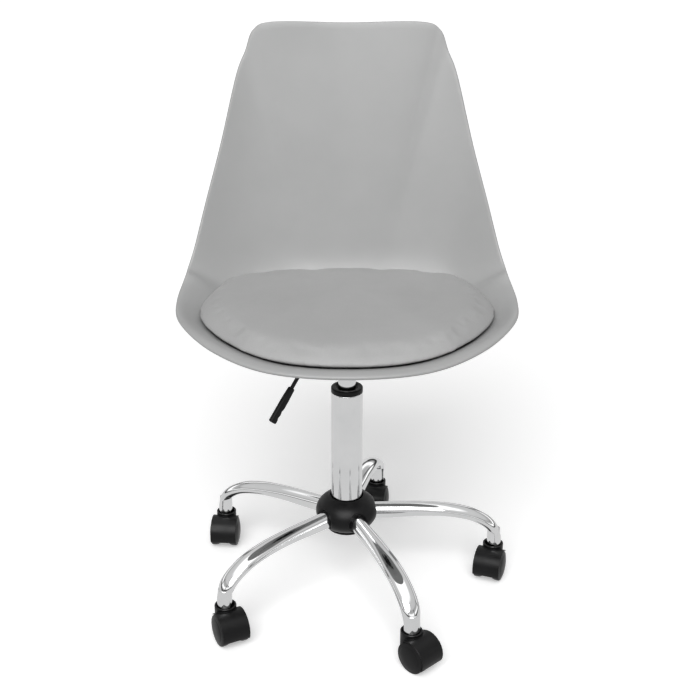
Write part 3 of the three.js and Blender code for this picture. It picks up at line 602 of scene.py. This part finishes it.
def points_of(mesh):
    flat_list = np.empty(len(mesh.vertices) * 3)
    mesh.vertices.foreach_get("co", flat_list)
    return flat_list.reshape(-1, 3)


remesh = pad.modifiers.new("even_cells", "REMESH")
remesh.mode = "VOXEL"
remesh.voxel_size = 0.004
applied(pad)
resting = points_of(pad.data)
facing_up = np.empty(len(pad.data.vertices) * 3)
pad.data.vertices.foreach_get("normal", facing_up)
facing_up = facing_up.reshape(-1, 3)[:, 2]
cloth = pad.modifiers.new("cover", "CLOTH")
cloth.settings.use_pressure = True
cloth.settings.uniform_pressure_force = 4.0
cloth.settings.effector_weights.gravity = 0.0
cloth.settings.quality = 6
for moment in range(1, 21):
    scene.frame_set(moment)
applied(pad)
moved_by = points_of(pad.data) - resting
far = np.linalg.norm(moved_by, axis=-1, keepdims=True)
cap = mix(0.0008, 0.005, ease(-0.3, 0.6, facing_up))[:, None]
swelled = resting + moved_by * np.minimum(1, cap / np.maximum(far, 1e-9))
pad.data.vertices.foreach_set("co", swelled.ravel())
scene.frame_set(1)
print("cover moved up to", round(float(far.max()) * 1000, 1), "mm, capped")
for polygon in pad.data.polygons:
    polygon.use_smooth = True
smoother = pad.modifiers.new("soften_cells", "SMOOTH")
smoother.iterations = 4
smoother.factor = 0.5
finer = pad.modifiers.new("finer", "SUBSURF")
finer.levels = finer.render_levels = 1
fit(pad, "seat", "leatherette", leatherette, "seat_cushion")
print("cushion", len(pad.data.polygons), "cells")

# %% [markdown]
# ## The gas lift
# Three turned parts show: the chromed outer column, the black guide bush pushed into its mouth, and the
# bright cylinder that slides in the bush. Each is one closed profile carried round the axis. The bush's
# flange and the column's mouth have small broken edges, which is where a turned part catches the light.

# %% Column, bush and cylinder
COLUMN_RADIUS, COLUMN_WALL, COLUMN_FLOOR = 25.0, 1.5, 3.0
COLUMN_BOTTOM, COLUMN_TOP = 108.0, 341.0
CYLINDER_RADIUS, CYLINDER_TOP, CYLINDER_BOTTOM, SOCKET_BOTTOM = 14.0, 397.5, 136.5, 372.0
column_bore = COLUMN_RADIUS - COLUMN_WALL
outside = [[24.2, COLUMN_BOTTOM], [24.8, COLUMN_BOTTOM + 0.25], [COLUMN_RADIUS, COLUMN_BOTTOM + 0.8],
           [COLUMN_RADIUS, COLUMN_BOTTOM + 3], [COLUMN_RADIUS, 200], [COLUMN_RADIUS, COLUMN_TOP - 3],
           [COLUMN_RADIUS, COLUMN_TOP - 0.5], [24.7, COLUMN_TOP], [23.7, COLUMN_TOP]]
inside = [[column_bore, COLUMN_TOP - 0.4], [column_bore, COLUMN_BOTTOM + COLUMN_FLOOR]]
column = closed([[6, COLUMN_BOTTOM], *outside, *inside, [6, COLUMN_BOTTOM + COLUMN_FLOOR]])
fit(surface("column", turned(column, 128)), "base", "chrome", chrome, "column_tube")
flange = np.radians(np.linspace(0, 90, 6))
shoulder = np.stack([COLUMN_RADIUS - 1.6 + 1.6 * np.cos(flange), 347.4 + 1.6 * np.sin(flange)], axis=-1)
bush = closed([[14.3, 276], [23.2, 276], [23.2, 341.3], [25, 341.3], *shoulder, [19, 349], [17.8, 348.6],
               [16.2, 346.4], [15.4, 346], [14.5, 346], [14.3, 345.6]])
fit(surface("bush", turned(bush, 128)), "base", "black_plastic", black_plastic, "guide_bush")
cylinder_outside = [[13, CYLINDER_BOTTOM], [13.7, 136.8], [CYLINDER_RADIUS, 137.5],
                    [CYLINDER_RADIUS, SOCKET_BOTTOM]]
cylinder_inside = [[4.3, CYLINDER_TOP], [4.3, 368], [12.5, 368], [12.5, 152.5], [5.3, 152.5]]
cylinder = closed([[5.3, CYLINDER_BOTTOM], *cylinder_outside, [13.2, CYLINDER_TOP], *cylinder_inside])
fit(surface("cylinder", turned(cylinder, 96)), "seat", "chrome", chrome, "lift_cylinder")
print("column", COLUMN_TOP - COLUMN_BOTTOM, "mm tall")

# %% [markdown]
# ## The hub cover
# A flattened hollow ball of black nylon hides the welded hub. It is turned from an oval profile with a
# round opening for the column, and it dips in round each arm like the moulded pockets that the arms come
# out of. The dip is a distance test: how far a point's direction and height are from an arm's middle.

# %% Hub cover
HUB_MIDDLE, COVER_RADIUS, COVER_HALF, COVER_WALL = 130.0, 50.0, 34.0, 2.5
FIRST_ARM, CASTER_CIRCLE, ARM_HEIGHT = 4.7, 245.5, 126.5
arm_azimuths = [FIRST_ARM + 72 * number for number in range(5)]


def pocket_depth(grid):
    """One inside an oval round each arm's middle line, falling smoothly to nothing just outside it."""
    azimuth = np.degrees(np.arctan2(grid[..., 1], grid[..., 0]))
    depth = np.zeros(azimuth.shape)
    for arm in arm_azimuths:
        aside = np.radians((azimuth - arm + 180) % 360 - 180) * COVER_RADIUS
        distance = np.hypot(aside / 15.5, (grid[..., 2] - ARM_HEIGHT) / 17.0)
        depth = np.maximum(depth, 1 - ease(0.88, 1.12, distance))
    return depth


def oval(radius, half, low, high, count):
    """An oval arc: the radius times a cosine, the middle height plus the half height times a sine."""
    angle = np.linspace(-math.acos(low / radius), math.acos(high / radius), count)
    return np.stack([radius * np.cos(angle), HUB_MIDDLE + half * np.sin(angle)], axis=-1)


outer = oval(COVER_RADIUS, COVER_HALF, 28.0, 27.0, 90)
inner = oval(COVER_RADIUS - COVER_WALL, COVER_HALF - COVER_WALL, 28.0, 27.0, 60)[::-1]
lip = [[26.7, outer[-1, 1] - 0.3], [26.5, outer[-1, 1] - 1.0]]
cover = turned(np.vstack([outer, lip, inner, outer[:1]]), 400)
is_outer = (np.arange(len(cover)) < len(outer))[:, None]
push = 5.0 * pocket_depth(cover) * is_outer
flat_way = cover[..., :2] / np.linalg.norm(cover[..., :2], axis=-1, keepdims=True)
cover[..., :2] -= flat_way * push[..., None]
inner_push = 5.2 * pocket_depth(cover) * ~is_outer
cover[..., :2] -= flat_way * inner_push[..., None]
fit(surface("hub_shroud", cover, crisp=60), "base", "black_plastic", black_plastic, "hub_cover")
cap_top = HUB_MIDDLE - COVER_HALF * math.sqrt(1 - (28 / COVER_RADIUS) ** 2) - 0.3
cap = [[0, cap_top - 2.5], [29.6, cap_top - 2.5], [30.6, cap_top - 2.1], [31, cap_top - 1.4],
       [31, cap_top - 0.3],
       [30.7, cap_top], [0, cap_top]]
fit(surface("hub_base_cap", turned(cap, 96)), "base", "black_plastic", black_plastic, "hub_cap")
print("hub cover", len(cover), "rings")

# %% [markdown]
# ## The arms
# Each arm is a chromed oval tube: deep at the hub, flatter and wider at the bend, and round at the tip,
# where its inner side is cut away so that only a half shell covers the caster's sleeve. The tube is a
# section carried along a curve; the cut is made by not going all the way round, a little at first and half
# way by the tip. A solidified wall gives the opening its thickness.

# %% Arms and sleeves
ARM_WALL, SLEEVE_RADIUS, SLEEVE_TOP, TIP_BOTTOM = 1.6, 10.6, 84.0, 53.5
route = np.array([[32, 0, 127], [0.28 * CASTER_CIRCLE, 0, 126.5], [0.5 * CASTER_CIRCLE, 0, 126],
                  [0.7 * CASTER_CIRCLE, 0, 121], [0.86 * CASTER_CIRCLE, 0, 109.5], [CASTER_CIRCLE - 6, 0,
                                                                                    89],
                  [CASTER_CIRCLE - 0.5, 0, 69], [CASTER_CIRCLE, 0, TIP_BOTTOM]])
sections = np.array([[25, 28, 0], [26, 27, 0], [28, 23.5, 0], [31, 20, 0], [31, 19, 0], [30, 19, 0],
                     [25.8, 24.8, 0], [25.8, 25.8, 0]])


def arm_sheet(along_count=150, round_count=72):
    """The section is an oval of the carried width and depth, square to the curve; near the tip it stops
    short on the inner side, by up to a quarter turn each way."""
    at = np.linspace(0, 1, along_count)
    line = curve(route, at, centripetal=True)
    ahead = np.gradient(line, axis=0)
    ahead /= np.linalg.norm(ahead, axis=-1, keepdims=True)
    deep_way = np.stack([-ahead[:, 2], np.zeros(along_count), ahead[:, 0]], axis=-1)
    size = curve(sections, at, centripetal=True)
    opening = np.radians(90) * (1 - ease(78.0, 96.0, line[:, 2])) ** 0.7
    angle = (np.linspace(-1, 1, round_count) * (np.pi - opening[:, None]))[..., None]
    across = size[:, None, :1] / 2 * np.sin(angle) * np.array([0, -1.0, 0])
    deep = size[:, None, 1:2] / 2 * np.cos(angle) * deep_way[:, None]
    return line[:, None] + across + deep


sleeve_edge = np.radians(np.linspace(0, 90, 6))
sleeve_round = np.stack([SLEEVE_RADIUS - 1.5 + 1.5 * np.cos(sleeve_edge),
                         SLEEVE_TOP - 1.5 + 1.5 * np.sin(sleeve_edge)], axis=-1)
sleeve_profile = closed([[5.8, TIP_BOTTOM], [SLEEVE_RADIUS, TIP_BOTTOM], *sleeve_round, [5.8, SLEEVE_TOP]])
for number, azimuth in enumerate(arm_azimuths, start=1):
    arm = surface(f"chrome_arm_{number}", swing(arm_sheet(), azimuth), around=False, crisp=60)
    wall = arm.modifiers.new("wall", "SOLIDIFY")
    wall.thickness = ARM_WALL * MM
    wall.offset = -1.0
    wall.use_even_offset = True
    fit(arm, "base", "chrome", chrome, f"arm_{number}")
    sleeve = surface(f"chrome_sleeve_{number}", swing(turned(sleeve_profile, 64), azimuth, CASTER_CIRCLE))
    fit(sleeve, "base", "chrome", chrome, f"stem_sleeve_{number}")
print("arms", [round(a, 1) for a in arm_azimuths])

# %% [markdown]
# ## Casters
# A caster is a moulded hood with a collar for its stem, and two wheels that bulge out of its sides. The
# wheels are turned from a profile: a domed disc with a shallow groove, a rounded shoulder and a crowned
# tread. The hood keeps the shape that the frame gives it, but as a copy whose edges are broken with a
# small bevel, the way a moulding's are.

# %% Caster pieces
WHEEL_RADIUS, TRAIL = 25.0, 17.5
headings = [-21.8, -14.0, -4.8, 27.0, 43.3]


def wheel_profile():
    """Radius and distance from the caster's middle plane: a dome that falls with the square of the radius."""
    dome_radius = np.linspace(0, 22.6, 24)
    dome = 25.5 - 3.4 * (dome_radius / 22.6) ** 2.6
    dome = dome - 0.5 * np.exp(-((dome_radius - 19.3) / 0.55) ** 2)
    shoulder_angle = np.radians(np.linspace(0, 90, 8))[1:]
    shoulder_radius = 22.6 + 2.4 * np.sin(shoulder_angle)
    shoulder_out = 22.1 - 2.6 * (1 - np.cos(shoulder_angle))
    tread = np.linspace(0, 1, 8)[1:]
    tread_radius = WHEEL_RADIUS - 1.2 * tread ** 4
    tread_out = 19.5 - 9.2 * tread
    rest = [[23.2, 9.4], [22.6, 9.0], [3.3, 9.0], [3.3, 20.5], [0, 20.5]]
    body = [np.stack([dome_radius, dome], axis=-1), np.stack([shoulder_radius, shoulder_out], axis=-1),
            np.stack([tread_radius, tread_out], axis=-1), np.array(rest)]
    return np.vstack(body)


def on_caster(grid, number):
    """From the caster's own frame to the chair's: turned by its heading, then out to its arm's tip."""
    azimuth = math.radians(arm_azimuths[number - 1])
    return swing(grid, headings[number - 1]) + [CASTER_CIRCLE * math.cos(azimuth),
                                                CASTER_CIRCLE * math.sin(azimuth), 0]


def wheel(side):
    """The turned profile laid with its axis along X, on the side asked for."""
    lathe = turned(wheel_profile(), 96)
    return np.stack([side * lathe[..., 2], lathe[..., 1] - TRAIL, lathe[..., 0] + WHEEL_RADIUS], axis=-1)


def eased_copy(node, name, width, crisp=32):
    """A copy of a node's mesh, its loose triangles merged and flat faces made whole, with bevelled edges."""
    work = bmesh.new()
    work.from_mesh(nodes[node].data)
    bmesh.ops.remove_doubles(work, verts=work.verts, dist=2e-6)
    bmesh.ops.dissolve_limit(work, angle_limit=math.radians(1.0), verts=work.verts, edges=work.edges)
    mesh = bpy.data.meshes.new(name)
    work.to_mesh(mesh)
    work.free()
    finish_mesh(mesh, crisp)
    piece = bpy.data.objects.new(name, mesh)
    scene.collection.objects.link(piece)
    bevel = piece.modifiers.new("broken_edges", "BEVEL")
    bevel.width = width * MM
    bevel.segments = 2
    bevel.limit_method = "ANGLE"
    bevel.angle_limit = math.radians(crisp)
    bevel.harden_normals = True
    return piece


for number in range(1, 6):
    hood = eased_copy(f"caster_{number}_housing", f"caster_{number}_hood", 0.5)
    fit(hood, f"caster_{number}", "black_plastic", black_plastic, f"caster_{number}_housing")
    for label, side in (("left", -1), ("right", 1)):
        roller = surface(f"caster_{number}_roller_{label}", on_caster(wheel(side), number), crisp=50)
        fit(roller, f"wheel_{number}_{label}", "black_plastic", black_plastic,
            f"caster_{number}_wheel_{label}")
print("wheels", 10)

# %% [markdown]
# ## The lever and the seat plate
# A bent rod under the seat opens the gas valve. Its grip is a flat paddle with two finger notches in its
# lower edge: a squarish section carried along the grip, whose lower half width dips twice. The pressed
# plate, its clip and its bolts keep their shapes, with broken edges.

# %% Lever
LEVER_AZIMUTH, LEVER_HEIGHT, ROD_RADIUS = 220.0, 406.5, 3.0
BEND_OUT, FILLET, TAIL = 84.0, 9.0, 98.0
SLOPE = math.radians(50)
down = np.array([math.cos(SLOPE), 0, -math.sin(SLOPE)])
corner = np.array([BEND_OUT, 0, LEVER_HEIGHT])
bend_in, bend_out = corner - [FILLET, 0, 0], corner + down * FILLET
inner_end = np.array([-ROD_RADIUS, 0, LEVER_HEIGHT])
share = np.linspace(0, 1, 14)[:, None]
bend_line = (1 - share) ** 2 * bend_in + 2 * share * (1 - share) * corner + share ** 2 * bend_out
lever_line = np.vstack([inner_end, mix(inner_end, bend_in, 0.5), bend_line, corner + down * (TAIL - 8)])
ahead = np.gradient(lever_line, axis=0)
ahead /= np.linalg.norm(ahead, axis=-1, keepdims=True)
up_way = np.stack([-ahead[:, 2], np.zeros(len(ahead)), ahead[:, 0]], axis=-1)
angle = np.linspace(0, 2 * np.pi, 32, endpoint=False)[:, None]
tube = lever_line[:, None] + ROD_RADIUS * (np.cos(angle) * up_way[:,
                                                                  None] + np.sin(angle) * np.array([0, 1.0,
                                                                                                    0]))
ends = [np.broadcast_to(lever_line[i], (1, 32, 3)) for i in (0, -1)]
lever_grid = swing(np.concatenate([ends[0], tube, ends[1]]), LEVER_AZIMUTH)
fit(surface("lever_bar", lever_grid), "lever", "black_steel", black_steel, "lever_rod")

GRIP_LENGTH, GRIP_HALF, GRIP_THICK = 60.0, 6.0, 4.0


def grip_grid(rows=90, columns=48):
    """Along the grip x runs from its inner end to its tip. The upper and lower half widths taper to the
    inner end, the lower one dips at two notches, and both ends close as a quarter circle."""
    x = -GRIP_LENGTH * (1 + np.cos(np.linspace(0, np.pi, rows))) / 2
    end_round = 2.2
    near_end = np.minimum(x + GRIP_LENGTH, -x)
    shrink = np.sqrt(np.clip(1 - (1 - np.clip(near_end / end_round, 0, 1)) ** 2, 0, 1))
    base = mix(GRIP_HALF * 0.8, GRIP_HALF, ease(-GRIP_LENGTH, -0.6 * GRIP_LENGTH, x))
    notches = sum(1.7 * np.exp(-((x - place) / 3.2) ** 2) for place in (-11.0, -21.0))
    angle = np.linspace(0, 2 * np.pi, columns, endpoint=False)
    square = 0.45
    wide = np.sign(np.sin(angle)) * np.abs(np.sin(angle)) ** square
    thick = np.sign(np.cos(angle)) * np.abs(np.cos(angle)) ** square
    half = np.where(wide[None] < 0, (base - notches)[:, None], base[:, None])
    inset = 1 - (1 - shrink[:, None]) * end_round / GRIP_THICK
    z = wide * half * inset
    y = thick * GRIP_THICK * inset
    ends_shut = (shrink > 0)[:, None]
    return np.stack([np.broadcast_to(x[:, None], z.shape), y * ends_shut, z * ends_shut], axis=-1)


flat_grip = grip_grid()
tilted = np.stack([flat_grip[..., 0] * math.cos(SLOPE) + flat_grip[..., 2] * math.sin(SLOPE),
                   flat_grip[..., 1],
                   -flat_grip[..., 0] * math.sin(SLOPE) + flat_grip[..., 2] * math.cos(SLOPE)], axis=-1)
grip_grid_placed = swing(tilted + corner + down * TAIL, LEVER_AZIMUTH)
fit(surface("lever_paddle", grip_grid_placed, crisp=60), "lever", "black_plastic", black_plastic,
    "lever_grip")
fit(eased_copy("lever_clip", "lever_guide", 0.5), "seat", "black_plastic", black_plastic, "lever_clip")
fit(eased_copy("seat_plate", "mounting_plate", 0.5), "seat", "black_steel", black_steel, "seat_plate")
for number in range(1, 5):
    bolt = eased_copy(f"seat_bolt_{number}", f"plate_bolt_{number}", 0.3)
    fit(bolt, "seat", "steel", steel, f"seat_bolt_{number}")
print("grip", GRIP_LENGTH, "mm long")

# %% [markdown]
# ## What stays from the frame
# The parts inside the lift, the hub's core, the stems and axles and the board in the cushion already have
# the right shape. They keep their meshes and take a finish on their own slots.

# %% Finishes on the kept nodes
kept_slots = {"cushion_board": "plywood", "release_button": "steel", "piston_rod": "steel",
              "piston_head": "black_plastic",
              "bearing_lower": "steel", "bearing_cage": "steel", "bearing_upper": "steel",
              "bump_stop": "rubber",
              "rod_clip": "steel", "hub_core": "steel"}
for number in range(1, 6):
    kept_slots[f"caster_{number}_stem"] = "steel"
    kept_slots[f"caster_{number}_axle"] = "steel"
for name, slot in kept_slots.items():
    for place in nodes[name].material_slots:
        place.material = finishes[slot]
print("kept", len(kept_slots), "nodes")

# %% [markdown]
# ## The studio
# A wide pale floor, an even sky and one very soft lamp from the front and above: the even light of a
# catalogue. Chrome needs something dark to reflect or it looks like white paint, so only the reflections
# see dark strips in the sky: a low band all round, and a few narrow uprights. The floor has three faces in
# the same way: painted to the eye, evenly bright in the chrome, and dimmer in the light that it throws back.

# %% Floor
floor_mesh = bpy.data.meshes.new("studio_floor")
size = 30.0
floor_mesh.from_pydata([(-size, -size, 0), (size, -size, 0), (size, size, 0), (-size, size, 0)], [],
                       [(0, 1, 2, 3)])
floor = bpy.data.objects.new("studio_floor", floor_mesh)
scene.collection.objects.link(floor)
floor_paint, tree, shader = material("floor_paint", 0.9)
tone = mottled(tree, 0.8, (0.93, 0.93, 0.93), (0.95, 0.95, 0.95))
tree.links.new(tone, shader.inputs["Base Color"])
shader.inputs["Specular IOR Level"].default_value = 0.1
shader.inputs["Emission Color"].default_value = (1, 1, 1, 1)
shader.inputs["Emission Strength"].default_value = 0.3
ray = add(tree, "ShaderNodeLightPath")
thrown_back = add(tree, "ShaderNodeBsdfDiffuse", Color=(0.5, 0.5, 0.5, 1))
mirrored = add(tree, "ShaderNodeEmission", Color=(0.7, 0.7, 0.7, 1))
unseen = add(tree, "ShaderNodeMixShader", i0=ray.outputs["Is Glossy Ray"], i1=thrown_back.outputs[0],
             i2=mirrored.outputs[0])
seen = add(tree, "ShaderNodeMixShader", i0=ray.outputs["Is Camera Ray"], i1=unseen.outputs[0],
           i2=shader.outputs[0])
tree.links.new(seen.outputs[0], tree.nodes["Material Output"].inputs["Surface"])
floor_mesh.materials.append(floor_paint)

# %% Sky and lamp
world = bpy.data.worlds.new("studio_sky")
scene.world = world
world.use_nodes = True
tree = world.node_tree
plain = tree.nodes["Background"]
plain.inputs["Color"].default_value = (1, 1, 1, 1)
plain.inputs["Strength"].default_value = 0.3
way = add(tree, "ShaderNodeTexCoord").outputs["Generated"]
parts = add(tree, "ShaderNodeSeparateXYZ", i0=way)
ramp = add(tree, "ShaderNodeValToRGB", i0=parts.outputs["Z"])
stops = ramp.color_ramp
stops.elements[0].position, stops.elements[0].color = 0.0, (0.5, 0.5, 0.5, 1)
stops.elements[1].position, stops.elements[1].color = 1.0, (1.9, 1.9, 1.9, 1)
for position, value in ((0.01, 0.02), (0.06, 0.02), (0.1, 0.3), (0.17, 1.5), (0.24, 1.5), (0.3, 0.6),
                        (0.45, 0.5), (0.5, 0.75),
                        (0.8, 0.8), (0.88, 1.6)):
    stops.elements.new(position).color = (value, value, value, 1)
round_angle = math_node(tree, "ARCTAN2", parts.outputs["Y"], parts.outputs["X"])
strip = math_node(tree, "SINE", math_node(tree, "MULTIPLY", round_angle, 7.0))
strip = math_node(tree, "GREATER_THAN", strip, 0.93)
low_part = math_node(tree, "LESS_THAN", parts.outputs["Z"], 0.42)
strip = math_node(tree, "MULTIPLY", math_node(tree, "MULTIPLY", strip, low_part), 0.8)
dark = layer_colour(tree, strip, ramp.outputs[0], (0.02, 0.02, 0.02))
mirrored = add(tree, "ShaderNodeBackground", Color=dark, Strength=0.85)
glossy = add(tree, "ShaderNodeLightPath").outputs["Is Glossy Ray"]
both = add(tree, "ShaderNodeMixShader", i0=glossy, i1=plain.outputs[0], i2=mirrored.outputs[0])
tree.links.new(both.outputs[0], tree.nodes["World Output"].inputs["Surface"])

key_data = bpy.data.lights.new("soft_front_lamp", "SUN")
key_data.energy = 2.55
key_data.angle = math.radians(50)
key = bpy.data.objects.new("soft_front_lamp", key_data)
key.rotation_euler = (math.radians(46), 0, math.radians(-8))
scene.collection.objects.link(key)
print("sky", plain.inputs["Strength"].default_value, "lamp", key_data.energy)
